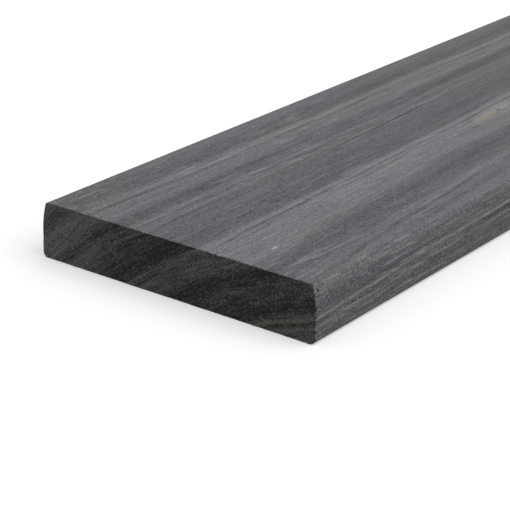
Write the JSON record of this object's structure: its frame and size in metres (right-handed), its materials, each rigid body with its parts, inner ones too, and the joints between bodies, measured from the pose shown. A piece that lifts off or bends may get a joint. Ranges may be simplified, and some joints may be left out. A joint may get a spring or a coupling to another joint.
{
  "type": "timber cladding board",
  "caption": "Planed grey-dyed softwood cladding board: plain rectangular section with eased long edges and square sawn ends, fixed flat across wall battens.",
  "frame": {"origin": "middle of the back face, which lies on the battens or on the floor", "axes": "+X along the grain, +Y across the board, +Z out of the show face"},
  "size_m": [1.8, 0.14, 0.025],
  "materials": {
    "grey_timber": "planed softwood dyed grey all through, matt to silky long faces with lengthwise grain, darker sawn end grain"
  },
  "bodies": {
    "root": {"cladding_board": "grey_timber"}
  },
  "joints": []
}
